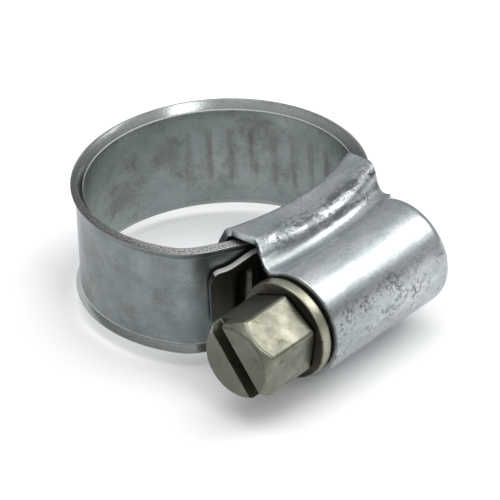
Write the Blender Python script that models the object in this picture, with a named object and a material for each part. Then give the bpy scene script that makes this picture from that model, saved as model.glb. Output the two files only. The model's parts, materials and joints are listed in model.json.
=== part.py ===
"""Hose clamp with a worm drive: steel band, pressed housing and hexagon screw.

The clip lies on the lower shoulder of its housing, with the ring's axis along +Z. The
housing is at +X, and the screw lies along Y with its head towards -Y. The origin is under
the middle of the part.
The band is one flexing strip. It is cut into stiff links with a hinge between each pair,
so that the ring can close as the screw draws the tail through the housing.
"""
import math

import bmesh
import bpy
from mathutils import Vector

MM = 0.001

# Band
STRIP = 0.70 * MM                  # sheet thickness
RING_R = 12.27 * MM                # middle of the strip in the round part of the ring
FLAT_HALF = 4.45 * MM              # half height of the flat wall, at the middle of the strip
LIP_LENGTH = 0.90 * MM             # flared edge beyond the flat wall
LIP_FLARE = math.radians(33.0)     # lean of the flared edge, outwards from vertical
FIXED_BEND_R = 4.0 * MM            # bend of the fixed end as it leaves the near mouth
FAR_BEND_R = 8.0 * MM              # bend of the band as it goes into the far mouth
FIXED_LAST_ANGLE = math.radians(-76.0)   # the fixed piece stops here on the ring
FIXED_START_Y = -0.4 * MM          # fixed end inside the housing, from the track's middle

# Curved track through the housing, round one centre inside the ring
TRACK_X = -9.95 * MM
TRACK_Y = 1.80 * MM
FIXED_TRACK_R = 20.0 * MM          # fixed end of the band
TAIL_TRACK_R = 21.0 * MM           # tail, outside the fixed end
FOOT_TRACK_R = 18.65 * MM          # ring side of the housing's feet

# Tail
TAIL_HALF = 4.20 * MM              # half height without flared edges
TAIL_EDGE = 0.50 * MM              # edge strip that takes the place of the flared edge
LIP_FADE = 1.6 * MM                # length in which the flared edges run out or start
LIP_START = 5.0 * MM               # the flared edges start here, from the fixed end
TIP_Y = -10.2 * MM
TIP_NOSE = 1.2 * MM                # rounded end
TIP_HALF = 3.10 * MM               # half height behind the rounded end
TIP_TAPER = 4.6 * MM               # the edges slope from here to the rounded end
TIP_NOSE_SHARE = 0.55              # height of the very tip, against the height behind it

# Links
LONG_LINKS = 7
SHORT_LINKS = 3
SHORT_LINK = 4.0 * MM
TAIL_HINGE_BACK = 2.0 * MM         # tail hinge, before the middle of the far part of the track
END_GAP = 0.30 * MM                # between the ends of two links

# Screw
SCREW_X = 15.20 * MM
PITCH = 2.0 * MM
CREST_R = 4.00 * MM
CORE_R = 3.20 * MM
CREST_HALF = 0.18 * MM
ROOT_HALF = 0.65 * MM
THREAD_Y0 = -7.4 * MM
THREAD_Y1 = 5.6 * MM
PILOT_R = 2.60 * MM
PILOT_Y = 7.5 * MM
FLANGE_R = 4.55 * MM
FLANGE_BACK_Y = -8.75 * MM
FLANGE_FRONT_Y = -9.90 * MM
FLANGE_CHAMFER = 0.25 * MM         # also on the pilot
NECK_R = 3.20 * MM
HEX_BACK_Y = -10.00 * MM
HEX_FRONT_Y = -16.20 * MM
HEX_FLATS = 7.0 * MM
HEX_CORNER = math.radians(20.0)    # direction of a corner, from +X towards +Z
CHAMFER_R = 3.25 * MM              # rim of the end face
CHAMFER_SLOPE = 0.90               # growth of the radius per length of chamfer
SLOT_WIDTH = 1.40 * MM
SLOT_DEPTH = 1.60 * MM
SLOT_TURN = math.radians(-54.0)    # direction of the slot, from +X towards +Z
CHAMFER_ROWS = 5
SCREW_COLUMNS = 30
ROWS_PER_PITCH = 8

# Worm track pressed into the band
PITCH_LINE_R = 21.30 * MM          # from the track's centre
GROOVE_DEPTH = 0.45 * MM
GROOVE_TOP_HALF = 0.72 * MM
GROOVE_FLOOR_HALF = 0.42 * MM
GROOVE_REACH = 2.2 * MM            # full depth up to here, from the middle of the strip
GROOVE_END = 3.0 * MM
GROOVE_EDGE = 0.10 * MM            # plain strip kept beside the track
GROOVE_ROWS = 7                    # points across the track

# Housing
SHEET = 0.70 * MM
SHOULDER_Z = 6.45 * MM
SHOULDER_Y0 = -7.60 * MM
SHOULDER_Y1 = 8.00 * MM
DOME_Y0 = -8.50 * MM
DOME_Y1 = 7.00 * MM
DOME_R = 5.00 * MM
DOME_END_R = 3.95 * MM             # rolled in at the far end
ROLL_LENGTH = 1.1 * MM
SHOULDER_IN_X = 8.65 * MM          # ring side of the shoulder, at its middle
SHOULDER_OUT_X = 13.50 * MM        # foot of the shoulder's outer wall, at its middle
SHOULDER_BOW = 1.35 * MM           # both sides draw back by this at the ends
SHOULDER_IN_BEND_R = 0.95 * MM     # outside radii of the bends in the sheet
SHOULDER_OUT_BEND_R = 1.50 * MM
DOME_BEND_R = 1.20 * MM
FOOT_BEND_R = 2.00 * MM
FOOT_Z = 0.60 * MM                 # half gap between the two feet
FOOT_BEND_Z = 4.40 * MM
WINDOW_Z = 5.60 * MM               # the feet are cut away at the far mouth for the band
WINDOW_Y = 4.60 * MM
WINDOW_X = 9.60 * MM
WALL_LEAN = 0.95 * MM
HOUSING_STATIONS = 10
ROLL_STATIONS = 4
BEND_STEPS = 3
DOME_STEPS = 9
DOME_LEAD = 0.28                   # turn from the foot of the dome to its first point

# The part's frame: origin under the middle of its box
LIP_R = RING_R + LIP_LENGTH * math.sin(LIP_FLARE) + STRIP / 2 * math.cos(LIP_FLARE)
RING_CENTRE = Vector((
    (LIP_R - SCREW_X - DOME_R) / 2,
    -(LIP_R + HEX_FRONT_Y) / 2,
    SHOULDER_Z,
))

STATION_STEP = 1.3 * MM
GROOVE_STATIONS = 6                # per pitch of the worm track
FULL_TURN = 2 * math.pi
QUARTER_TURN = 0.25                # as a share of a turn
SHARP_ANGLE = math.radians(30)

# Zinc plating: base colour and roughness
BAND_ZINC = ((0.50, 0.54, 0.56), 0.32)
HOUSING_ZINC = ((0.62, 0.64, 0.66), 0.28)
SCREW_ZINC = ((0.50, 0.50, 0.42), 0.36)


def clear_scene():
    for thing in list(bpy.data.objects):
        bpy.data.objects.remove(thing, do_unlink=True)


def metal(name, colour, roughness):
    """A plain metallic material."""
    material = bpy.data.materials.new(name)
    material.use_nodes = True
    shader = material.node_tree.nodes["Principled BSDF"]
    shader.inputs["Base Color"].default_value = (*colour, 1.0)
    shader.inputs["Metallic"].default_value = 1.0
    shader.inputs["Roughness"].default_value = roughness
    return material


def blend(low, high, value):
    """Smooth step from 0 at low to 1 at high."""
    t = min(max((value - low) / (high - low), 0.0), 1.0)
    return t * t * (3 - 2 * t)


def mix(a, b, t):
    return a + (b - a) * t


def polar(radius, angle):
    return Vector((radius * math.cos(angle), radius * math.sin(angle)))


# ---------------------------------------------------------------- band path


def tangent_angle(track_r, bend_r, side):
    """Angle on the track where a bend leaves it, so that the bend meets the ring."""
    centre = Vector((TRACK_X, TRACK_Y))
    arm = track_r - bend_r
    reach = RING_R - bend_r
    cosine = (reach ** 2 - centre.length ** 2 - arm ** 2) / (2 * centre.length * arm)
    spread = math.acos(cosine)
    return (math.atan2(centre.y, centre.x) + side * spread + math.pi) % FULL_TURN - math.pi


def band_arcs():
    """Arcs of the band's middle line, clockwise: centre, radius, start angle, end angle."""
    track = Vector((TRACK_X, TRACK_Y))
    ring = Vector((0.0, 0.0))
    near = tangent_angle(FIXED_TRACK_R, FIXED_BEND_R, +1)
    far = tangent_angle(TAIL_TRACK_R, FAR_BEND_R, -1)
    near_bend = track + polar(FIXED_TRACK_R - FIXED_BEND_R, near)
    far_bend = track + polar(TAIL_TRACK_R - FAR_BEND_R, far)
    near_join = math.atan2(near_bend.y, near_bend.x)
    far_join = math.atan2(far_bend.y, far_bend.x)
    start = math.asin(FIXED_START_Y / FIXED_TRACK_R)
    tip = math.asin((TIP_Y - TRACK_Y) / TAIL_TRACK_R)
    return [
        (track, FIXED_TRACK_R, start, near),
        (near_bend, FIXED_BEND_R, near, near_join),
        (ring, RING_R, near_join, far_join - FULL_TURN),
        (far_bend, FAR_BEND_R, far_join - FULL_TURN, far - FULL_TURN),
        (track, TAIL_TRACK_R, far - FULL_TURN, tip - FULL_TURN),
    ]


ARCS = band_arcs()
ARC_LENGTHS = [radius * (first - last) for _, radius, first, last in ARCS]
BAND_LENGTH = sum(ARC_LENGTHS)
FIXED_END = sum(ARC_LENGTHS[:2]) + RING_R * (ARCS[2][2] - FIXED_LAST_ANGLE)
TRACK_MIDDLE = BAND_LENGTH - TAIL_TRACK_R * (-FULL_TURN - ARCS[4][3])


def band_frame(along):
    """Point on the middle line, and the outward normal, at a length along the band."""
    for (centre, radius, first, _), length in zip(ARCS, ARC_LENGTHS):
        if along <= length or radius == TAIL_TRACK_R:
            normal = polar(1.0, first - along / radius)
            return centre + radius * normal, normal
        along -= length


def lip_share(along):
    """1 where the band has flared edges, 0 where it has none."""
    near = blend(LIP_START, LIP_START + LIP_FADE, along)
    far = hinge_places()[-2]
    return near * (1 - blend(far, far + LIP_FADE, along))


def half_height(along):
    """Half height of the band without flared edges, which narrows to the tip."""
    left = BAND_LENGTH - along
    taper = mix(TIP_HALF, TAIL_HALF, blend(TIP_NOSE, TIP_TAPER, left))
    nose = min(max(left / TIP_NOSE, 0.0), 1.0)
    return taper * mix(TIP_NOSE_SHARE, 1.0, math.sqrt(1 - (1 - nose) ** 2))


def groove(along, z):
    """Depth of the worm track at a place on the outer face."""
    spacing = PITCH * TAIL_TRACK_R / PITCH_LINE_R
    slant = PITCH / (FULL_TURN * CREST_R)
    place = (along + slant * z - TRACK_MIDDLE) / spacing
    off = abs(place - round(place)) * spacing
    profile = 1 - min(max((off - GROOVE_FLOOR_HALF) / (GROOVE_TOP_HALF - GROOVE_FLOOR_HALF), 0), 1)
    across = 1 - blend(GROOVE_REACH, GROOVE_END, abs(z))
    ahead = 1 - blend(BAND_LENGTH - TIP_NOSE - PITCH, BAND_LENGTH - TIP_NOSE, along)
    return GROOVE_DEPTH * profile * across * ahead


def section(along, toothed):
    """Outline of the strip as (out, up) pairs: outer face top to bottom, inner face back up."""
    share = lip_share(along)
    edge = mix(TAIL_EDGE, LIP_LENGTH, share)
    bend = mix(half_height(along) - TAIL_EDGE, FLAT_HALF, share)
    lean = LIP_FLARE * share
    tip = Vector((edge * math.sin(lean), bend + edge * math.cos(lean)))
    across = STRIP / 2 * Vector((math.cos(lean), -math.sin(lean)))
    shift = STRIP / 2 * math.tan(lean / 2)
    outer = [tip + across, Vector((STRIP / 2, bend - shift))]
    inner = [tip - across, Vector((-STRIP / 2, bend + shift))]
    middle = []
    if toothed:
        reach = min(GROOVE_END, bend - shift - GROOVE_EDGE)
        for row in range(GROOVE_ROWS):
            z = reach * (1 - 2 * row / (GROOVE_ROWS - 1))
            middle.append(Vector((STRIP / 2 - groove(along, z), z)))
    mirror = [Vector((p.x, -p.y)) for p in outer]
    back = [Vector((p.x, -p.y)) for p in inner]
    return outer + middle + mirror[::-1] + back + inner[::-1]


def hinge_places():
    """Lengths along the band of all hinges, the tail's hinge last."""
    first = FIXED_END + END_GAP / 2
    last = TRACK_MIDDLE - TAIL_HINGE_BACK
    long_link = (last - first - SHORT_LINKS * SHORT_LINK) / LONG_LINKS
    places = [first + long_link * i for i in range(LONG_LINKS + 1)]
    return places + [places[-1] + SHORT_LINK * (i + 1) for i in range(SHORT_LINKS)]


# ---------------------------------------------------------------- meshes


def add_object(name, points, faces, material, origin=RING_CENTRE, parent=None):
    """Object with its own origin. Points are in the ring's frame."""
    mesh = bpy.data.meshes.new(name)
    mesh.from_pydata([tuple(RING_CENTRE + p - origin) for p in points], [], faces)
    thing = bpy.data.objects.new(name, mesh)
    bpy.context.collection.objects.link(thing)
    mesh.materials.append(material)
    thing.location = origin - (parent.matrix_world.translation if parent else Vector())
    thing.parent = parent
    bpy.context.view_layer.update()
    work = bmesh.new()
    work.from_mesh(mesh)
    bmesh.ops.recalc_face_normals(work, faces=work.faces)
    work.to_mesh(mesh)
    work.free()
    mesh.shade_smooth()
    mesh.set_sharp_from_angle(angle=SHARP_ANGLE)
    return thing


def tube_faces(rows, columns, capped=True):
    """Quads between closed rows of points, with a face at each end."""
    faces = []
    for row in range(rows - 1):
        for column in range(columns):
            after = (column + 1) % columns
            a = row * columns + column
            b = row * columns + after
            faces.append((a, b, b + columns, a + columns))
    if capped:
        faces.append(tuple(range(columns))[::-1])
        faces.append(tuple(range((rows - 1) * columns, rows * columns)))
    return faces


def strip_piece(name, start, stop, material, toothed=False, origin=RING_CENTRE, parent=None):
    """A length of the band as one closed solid."""
    step = PITCH / GROOVE_STATIONS if toothed else STATION_STEP
    count = max(2, math.ceil((stop - start) / step)) + 1
    points = []
    for i in range(count):
        along = mix(start, stop, i / (count - 1))
        place, normal = band_frame(along)
        outline = section(along, toothed)
        for out, up in outline:
            flat = place + normal * out
            points.append(Vector((flat.x, flat.y, up)))
    faces = tube_faces(count, len(outline))
    return add_object(name, points, faces, material, origin, parent)


def band(material):
    """Fixed end, links and tail, each hinged to the one before."""
    hinges = hinge_places()
    before = strip_piece("band_fixed_end", 0.0, FIXED_END, material)
    toothed_from = LONG_LINKS - 1
    for number, start in enumerate(hinges):
        last = number == len(hinges) - 1
        stop = BAND_LENGTH if last else hinges[number + 1] - END_GAP / 2
        name = "band_tail" if last else f"band_link_{number + 1:02d}"
        place, _ = band_frame(start)
        origin = RING_CENTRE + Vector((place.x, place.y, 0.0))
        before = strip_piece(name, start + END_GAP / 2, stop, material,
                             number >= toothed_from, origin, before)


# ---------------------------------------------------------------- screw


def hex_radius(angle):
    """Radius of the hexagon in a direction from +X towards +Z."""
    off = (angle - HEX_CORNER) % (math.pi / 3) - math.pi / 6
    return HEX_FLATS / 2 / math.cos(off)


def thread_radius(y, angle):
    """Radius of the right-hand worm. Its crest faces the middle of the band's track."""
    turn = (math.pi / 2 - angle) / FULL_TURN
    place = (y - TRACK_Y) / PITCH - QUARTER_TURN - turn
    off = abs(place - round(place)) * PITCH
    share = 1 - min(max((off - CREST_HALF) / (ROOT_HALF - CREST_HALF), 0.0), 1.0)
    ends = blend(THREAD_Y0, THREAD_Y0 + PITCH / 2, y) * (1 - blend(THREAD_Y1 - PITCH / 2, THREAD_Y1, y))
    return mix(CORE_R, CREST_R, share * ends)


def screw_rows():
    """(y, radius function) of each ring of points, from the end face to the pilot."""
    rows = []
    depth = (HEX_FLATS / 2 / math.cos(math.pi / 6) - CHAMFER_R) / CHAMFER_SLOPE
    for i in range(CHAMFER_ROWS):
        y = HEX_FRONT_Y + depth * i / (CHAMFER_ROWS - 1)
        limit = CHAMFER_R + (y - HEX_FRONT_Y) * CHAMFER_SLOPE
        rows.append((y, lambda a, limit=limit: min(hex_radius(a), limit)))
    rows.append((HEX_BACK_Y, hex_radius))
    plain = (
        (HEX_BACK_Y, NECK_R),
        (FLANGE_FRONT_Y, NECK_R),
        (FLANGE_FRONT_Y, FLANGE_R - FLANGE_CHAMFER),
        (FLANGE_FRONT_Y + FLANGE_CHAMFER, FLANGE_R),
        (FLANGE_BACK_Y - FLANGE_CHAMFER, FLANGE_R),
        (FLANGE_BACK_Y, FLANGE_R - FLANGE_CHAMFER),
        (FLANGE_BACK_Y, CORE_R),
    )
    rows += [(y, lambda a, r=r: r) for y, r in plain]
    count = round((THREAD_Y1 - THREAD_Y0) / PITCH * ROWS_PER_PITCH)
    for i in range(count + 1):
        y = mix(THREAD_Y0, THREAD_Y1, i / count)
        rows.append((y, lambda a, y=y: thread_radius(y, a)))
    rows.append((THREAD_Y1 + FLANGE_CHAMFER, lambda a: PILOT_R))
    rows.append((PILOT_Y - FLANGE_CHAMFER, lambda a: PILOT_R))
    rows.append((PILOT_Y, lambda a: PILOT_R - FLANGE_CHAMFER))
    return rows


def cut_box(thing, name, size, place, turn=0.0):
    """Cut a box out of an object. The place is in the ring's frame, the turn about Y."""
    bpy.ops.mesh.primitive_cube_add(size=1.0)
    cutter = bpy.context.object
    cutter.name = name
    cutter.scale = size
    cutter.rotation_euler = (0.0, turn, 0.0)
    cutter.location = RING_CENTRE + Vector(place)
    cutter.hide_render = True
    cutter.display_type = "WIRE"
    cut = thing.modifiers.new(name, "BOOLEAN")
    cut.operation = "DIFFERENCE"
    cut.object = cutter


def screw(material, housing):
    """Hexagon head, flange, worm and pilot in one turned piece."""
    rows = screw_rows()
    points = []
    for y, radius in rows:
        for column in range(SCREW_COLUMNS):
            angle = HEX_CORNER + FULL_TURN * column / SCREW_COLUMNS
            flat = polar(radius(angle), angle)
            points.append(Vector((SCREW_X + flat.x, y, flat.y)))
    origin = RING_CENTRE + Vector((SCREW_X, 0.0, 0.0))
    faces = tube_faces(len(rows), SCREW_COLUMNS)
    thing = add_object("screw", points, faces, material, origin, housing)
    slot = (HEX_FLATS * 2, SLOT_DEPTH * 2, SLOT_WIDTH)
    cut_box(thing, "slot", slot, (SCREW_X, HEX_FRONT_Y, 0.0), -SLOT_TURN)


# ---------------------------------------------------------------- housing


def rounded(corners, steps):
    """Open outline through corners, given as (point, bend radius), with arcs for the bends."""
    outline = [corners[0][0]]
    for (before, _), (corner, radius), (after, _) in zip(corners, corners[1:], corners[2:]):
        back = (before - corner).normalized()
        ahead = (after - corner).normalized()
        half = back.angle(ahead) / 2
        reach = radius / math.tan(half)
        centre = corner + (back + ahead).normalized() * radius / math.sin(half)
        first = corner + back * reach - centre
        last = corner + ahead * reach - centre
        sweep = first.angle_signed(last)
        for i in range(steps + 1):
            turn = -sweep * i / steps
            c, s = math.cos(turn), math.sin(turn)
            outline.append(centre + Vector((c * first.x - s * first.y, s * first.x + c * first.y)))
    outline.append(corners[-1][0])
    return outline


def housing_outline(y, dome_r):
    """Upper half of the housing's outer side at one place along the screw."""
    middle = (SHOULDER_Y0 + SHOULDER_Y1) / 2
    bow = SHOULDER_BOW * ((y - middle) / (SHOULDER_Y1 - middle)) ** 2
    inside = SHOULDER_IN_X - bow
    foot = TRACK_X + math.sqrt(FOOT_TRACK_R ** 2 - (y - TRACK_Y) ** 2)
    wall = SHOULDER_OUT_X - bow
    dome_start = math.acos((wall - SCREW_X) / DOME_R)
    wall_foot = Vector((SCREW_X, 0.0)) + polar(DOME_R, dome_start)
    corners = [
        (Vector((foot, FOOT_Z)), 0.0),
        (Vector((foot, FOOT_BEND_Z)), FOOT_BEND_R),
        (Vector((inside, SHOULDER_Z)), SHOULDER_IN_BEND_R),
        (Vector((wall - WALL_LEAN, SHOULDER_Z)), SHOULDER_OUT_BEND_R),
        (wall_foot, DOME_BEND_R),
        (Vector((SCREW_X, 0.0)) + polar(DOME_R, dome_start - DOME_LEAD), 0.0),
    ]
    outline = rounded(corners, BEND_STEPS)
    first = dome_start - DOME_LEAD
    for i in range(1, DOME_STEPS + 1):
        angle = first * (1 - i / DOME_STEPS)
        outline.append(Vector((SCREW_X, 0.0)) + polar(dome_r, angle))
    return outline


def housing(material):
    """Pressed shell: two feet and shoulders round the band, and a dome over the worm."""
    rows = []
    straight = 1 - ROLL_LENGTH / (DOME_Y1 - DOME_Y0)
    shares = [straight * i / HOUSING_STATIONS for i in range(HOUSING_STATIONS)]
    shares += [mix(straight, 1.0, i / ROLL_STATIONS) for i in range(ROLL_STATIONS + 1)]
    for share in shares:
        y = mix(SHOULDER_Y0, SHOULDER_Y1, share)
        dome_y = mix(DOME_Y0, DOME_Y1, share)
        roll = max(0.0, 1 - (DOME_Y1 - dome_y) / ROLL_LENGTH)
        dome_r = mix(DOME_END_R, DOME_R, math.sqrt(1 - roll ** 2))
        upper = housing_outline(y, dome_r)
        full = upper + [Vector((p.x, -p.y)) for p in upper[-2::-1]]
        row = []
        for p in full:
            over_dome = blend(SCREW_X - DOME_R, SCREW_X - DOME_R / 2, p.x)
            row.append(Vector((p.x, mix(y, dome_y, over_dome), p.y)))
        rows.append(row)
    columns = len(rows[0])
    faces = []
    for row in range(len(rows) - 1):
        for column in range(columns - 1):
            a = row * columns + column
            faces.append((a, a + 1, a + 1 + columns, a + columns))
    points = [p for row in rows for p in row]
    thing = add_object("housing", points, faces, material)
    sheet = thing.modifiers.new("sheet", "SOLIDIFY")
    sheet.thickness = SHEET
    sheet.offset = -1.0
    sheet.use_even_offset = True
    window = (WINDOW_X, SHOULDER_Y1, WINDOW_Z * 2)
    cut_box(thing, "window", window, (WINDOW_X / 2, WINDOW_Y + SHOULDER_Y1 / 2, 0.0))
    return thing


def main():
    clear_scene()
    shell = housing(metal("housing_zinc", *HOUSING_ZINC))
    screw(metal("screw_zinc", *SCREW_ZINC), shell)
    band(metal("band_zinc", *BAND_ZINC))


main()
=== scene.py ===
"""Looks of the hose clamp: an unbroken steel band, the pressed housing and the hexagon screw.

All shapes are worked out in the ring's frame: its axis is +Z, +X points to the screw.
"""
import json
import math

import bmesh
import bpy
from mathutils import Matrix, Vector


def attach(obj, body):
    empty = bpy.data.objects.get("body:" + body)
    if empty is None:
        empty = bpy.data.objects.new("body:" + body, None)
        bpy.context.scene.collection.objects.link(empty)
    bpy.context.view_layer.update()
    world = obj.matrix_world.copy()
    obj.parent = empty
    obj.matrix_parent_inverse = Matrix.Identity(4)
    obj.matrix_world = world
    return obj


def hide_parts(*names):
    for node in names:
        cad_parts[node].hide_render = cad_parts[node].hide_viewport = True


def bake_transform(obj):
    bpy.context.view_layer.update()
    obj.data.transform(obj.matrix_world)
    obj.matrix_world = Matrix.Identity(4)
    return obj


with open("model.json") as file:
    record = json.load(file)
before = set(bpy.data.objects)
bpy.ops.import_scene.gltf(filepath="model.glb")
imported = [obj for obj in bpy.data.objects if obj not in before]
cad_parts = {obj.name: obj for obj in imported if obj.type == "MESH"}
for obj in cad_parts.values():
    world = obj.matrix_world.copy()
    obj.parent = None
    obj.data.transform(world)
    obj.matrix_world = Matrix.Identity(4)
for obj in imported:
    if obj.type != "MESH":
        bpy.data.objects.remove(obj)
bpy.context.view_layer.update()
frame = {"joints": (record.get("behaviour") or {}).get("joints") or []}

MM = 0.001
FULL_TURN = 2 * math.pi

# Band
STRIP = 0.70 * MM                      # sheet thickness
RING_R = 12.27 * MM                    # middle of the strip in the round part of the ring
FLAT_HALF = 4.45 * MM                  # half height of the flat wall
LIP_LENGTH = 0.90 * MM                 # flared edge beyond the flat wall
LIP_FLARE = math.radians(33.0)         # lean of the flared edge, outwards from vertical
LIP_BEND = 0.45 * MM
EDGE_ROUND = 0.07 * MM
FIXED_BEND_R = 4.0 * MM                # bend of the fixed end as it leaves the near mouth
FAR_BEND_R = 8.0 * MM                  # bend of the band as it goes into the far mouth
FIXED_START_Y = -0.4 * MM              # fixed end inside the housing, from the track's middle
TRACK_X = -9.95 * MM                   # centre of the curved track through the housing
TRACK_Y = 1.80 * MM
FIXED_TRACK_R = 20.0 * MM              # fixed end of the band
TAIL_TRACK_R = 21.0 * MM               # tail, outside the fixed end
TAIL_HALF = 4.20 * MM                  # half height without flared edges
TAIL_EDGE = 0.50 * MM                  # edge strip that takes the place of the flared edge
LIP_FADE = 1.6 * MM                    # length in which the flared edges run out or start
LIP_START = 5.0 * MM                   # the flared edges start here, from the fixed end
SHORT_LINK = 4.0 * MM
TIP_Y = -10.2 * MM
TIP_NOSE = 1.2 * MM                    # rounded end
TIP_HALF = 3.10 * MM                   # half height behind the rounded end
TIP_TAPER = 4.6 * MM                   # the edges slope from here to the rounded end
TIP_NOSE_SHARE = 0.55                  # height of the very tip, against the height behind it
TAIL_HINGE_BACK = 2.0 * MM             # tail hinge, before the middle of the far part of the track
STATION_STEP = 0.22 * MM
LEAST_STATIONS = 6                     # in one piece of the strip
END_STATION = 0.02 * MM                # from each end of a piece to its next station
PATH_STEPS = 4000                      # when a place is looked up along the band
BEND_REACH = 0.82                      # reach to each side of a hinge, as a share of the way to the cut
EDGE_STEPS = 3
LIP_STEPS = 5
WALL_COLUMNS = 18
LEAST_LIP = 0.02                       # a smaller share of the flare is left out
BAND_SHARP = 50.0                      # degrees
OIL_AND_SHADE_LENGTH = 9.0 * MM                 # dark with oil and with painted shade up to the tip
BAND_UV = 10 * MM                      # length of one unit of the strip's own map
INNER_FACE_V = (1.10, 1.14)            # the inner face starts here on that map
TOOTHED_FROM = math.radians(150.0)     # place on the ring where the worm track starts

# Worm track
PITCH = 2.0 * MM
PITCH_LINE_R = 21.30 * MM              # from the track's centre
CREST_R = 4.00 * MM
CORE_R = 3.20 * MM
GROOVE_DEPTH = 0.42 * MM
GROOVE_TOP_HALF = 0.72 * MM
GROOVE_FLOOR_HALF = 0.40 * MM
GROOVE_REACH = 2.2 * MM                # full depth up to here, from the middle of the strip
GROOVE_END = 3.0 * MM
RIPPLE = 0.035 * MM                    # the track shows through on the inner face
GROOVE_SPACING = PITCH * TAIL_TRACK_R / PITCH_LINE_R

# Screw
CREST_HALF = 0.18 * MM
ROOT_HALF = 0.65 * MM
THREAD_Y0 = -7.4 * MM
THREAD_Y1 = 5.6 * MM
PILOT_R = 2.60 * MM
PILOT_Y = 7.5 * MM
FLANGE_R = 4.55 * MM
FLANGE_BACK_Y = -8.75 * MM
FLANGE_FRONT_Y = -9.90 * MM
FLANGE_ROUND = 0.22 * MM
NECK_R = 3.20 * MM
NECK_ROUND = 0.08 * MM
HEX_BACK_Y = -10.00 * MM
HEX_BACK_ROUND = 0.12 * MM
HEX_FRONT_Y = -16.20 * MM
HEX_FLATS = 7.0 * MM
HEX_CORNER = math.radians(20.0)        # direction of a corner, from +X towards +Z
HEX_EDGE_ROUND = 0.45 * MM
CHAMFER_R = 3.25 * MM                  # rim of the end face
CHAMFER_SLOPE = 0.90                   # growth of the radius per length of chamfer
CHAMFER_ROUND = 0.15 * MM
SLOT_WIDTH = 1.40 * MM
SLOT_DEPTH = 1.60 * MM
SLOT_ROUND = 0.08 * MM
SLOT_FLOOR_ROUND = 0.15 * MM
HAIR = 0.001 * MM                      # keeps the cutter's lip just outside the end face
SLOT_TURN = math.radians(-54.0)        # direction of the slot, from +X towards +Z
SCREW_COLUMNS = 240
SCREW_ROW = 0.08 * MM
FACE_RINGS = (0.02, 0.3, 0.6, 0.85)    # on the end face, as shares of its radius
SMALL_STEPS = 4                        # in a small arc
PROFILE_STEPS = 5
WORM_ROWS = 24                         # per pitch
QUARTER_TURN = 0.25                    # as a share of a turn
PILOT_CHAMFER = 0.25 * MM
METAL_SHARP = 40.0                     # degrees

# Housing
SHEET = 0.70 * MM
SHEET_ROUND = 0.07 * MM
SHOULDER_Z = 6.45 * MM
SHOULDER_Y0 = -7.60 * MM
SHOULDER_Y1 = 8.00 * MM
DOME_Y0 = -8.50 * MM
DOME_Y1 = 7.00 * MM
DOME_R = 5.00 * MM
DOME_END_R = 3.95 * MM                 # rolled in at the far end
ROLL_LENGTH = 1.1 * MM
SHOULDER_IN_X = 8.65 * MM              # ring side of the shoulder, at its middle
SHOULDER_OUT_X = 13.50 * MM            # foot of the shoulder's outer wall, at its middle
SHOULDER_BOW = 1.35 * MM               # both sides draw back by this at the ends
SHOULDER_IN_BEND_R = 0.95 * MM         # outside radii of the bends in the sheet
SHOULDER_OUT_BEND_R = 1.50 * MM
DOME_BEND_R = 1.20 * MM
FOOT_BEND_R = 2.00 * MM
DOME_LEAD = 0.28                       # turn from the foot of the dome to its first point
WINDOW_Z = 5.60 * MM                   # the feet are cut away at the far mouth for the band
WINDOW_Y = 4.60 * MM
WINDOW_X = 9.60 * MM
FOOT_TRACK_R = 18.65 * MM              # ring side of the housing's feet
FOOT_Z = 0.60 * MM                     # half gap between the two feet
FOOT_BEND_Z = 4.40 * MM
WALL_LEAN = 0.95 * MM
HOUSING_STATIONS = 60
ROLL_STATIONS = 10
FOOT_STEPS = 6
BEND_STEPS = 8
DOME_STEPS = 40
ROUND_FROM = 60.0                      # edges sharper than this, in degrees, are rounded

STRAIGHT = 0.001                       # a corner with less turn than this is left straight
SHORT_STEP = 0.01 * MM

# Where a surface looks up by these shares, it is a lip, its fillet or a cut edge
LIP_FACING = (0.12, 0.30, 0.60, 0.70)
FILLET_FACING = (0.10, 0.22, 0.38, 0.48)
EDGE_FACING = (0.70, 0.78)

# Wear, and where painted light lies on the crest and the screw's neck
CREST_INSET = 0.3 * MM                 # the crest lies inside the shoulder's outer bend
CREST_WIDTH = 1.5 * MM
COLOUR_FADE = 0.02 * MM

# Colours of the band, from dark to light where there are several
BAND_CLOUDS = ((0.155, 0.180, 0.178), (0.195, 0.225, 0.223), (0.235, 0.265, 0.262))
BAND_INSIDE = (0.46, 0.52, 0.50)
BAND_MARKS = (0.13, 0.10, 0.095)
BAND_STAINS = (0.13, 0.115, 0.115)
# Painted highlight on the upper lips
PAINTED_LIP_HIGHLIGHT = (0.42, 0.44, 0.42)
# Painted highlight along the inner fillet
PAINTED_FILLET_HIGHLIGHT = (0.86, 0.87, 0.83)
BAND_SPECKS = (0.06, 0.065, 0.065)
CUT_STEEL = ((0.05, 0.05, 0.048), (0.30, 0.30, 0.285))
# Painted highlight on the tip's cut edges
PAINTED_TIP_HIGHLIGHT = (0.62, 0.58, 0.55)
# Oil and painted shade on the tail's tip
OILY_SHADED_STEEL = (0.055, 0.052, 0.042)

# Colours of the housing
HOUSING_CLOUDS = ((0.30, 0.335, 0.345), (0.39, 0.42, 0.43), (0.50, 0.53, 0.535))
HOUSING_STREAKS = (0.64, 0.66, 0.655)
# Dark and bright blotches on the crest: scuffs, and also a painted reflection and painted highlights
DARK_SCUFFS_AND_REFLECTION = (0.09, 0.095, 0.095)
BRIGHT_SCUFFS_AND_HIGHLIGHT = (0.80, 0.82, 0.81)
HOUSING_PITS = (0.07, 0.075, 0.075)
HOUSING_GRAIN = (0.20, 0.21, 0.215)

# Colours of the screw
SCREW_CLOUDS = ((0.135, 0.135, 0.102), (0.180, 0.180, 0.142), (0.240, 0.240, 0.190))
SCREW_SPECKS = (0.09, 0.09, 0.065)
FLANGE_OLIVE = (0.42, 0.41, 0.32)
RUST = (0.12, 0.05, 0.025)
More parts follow.
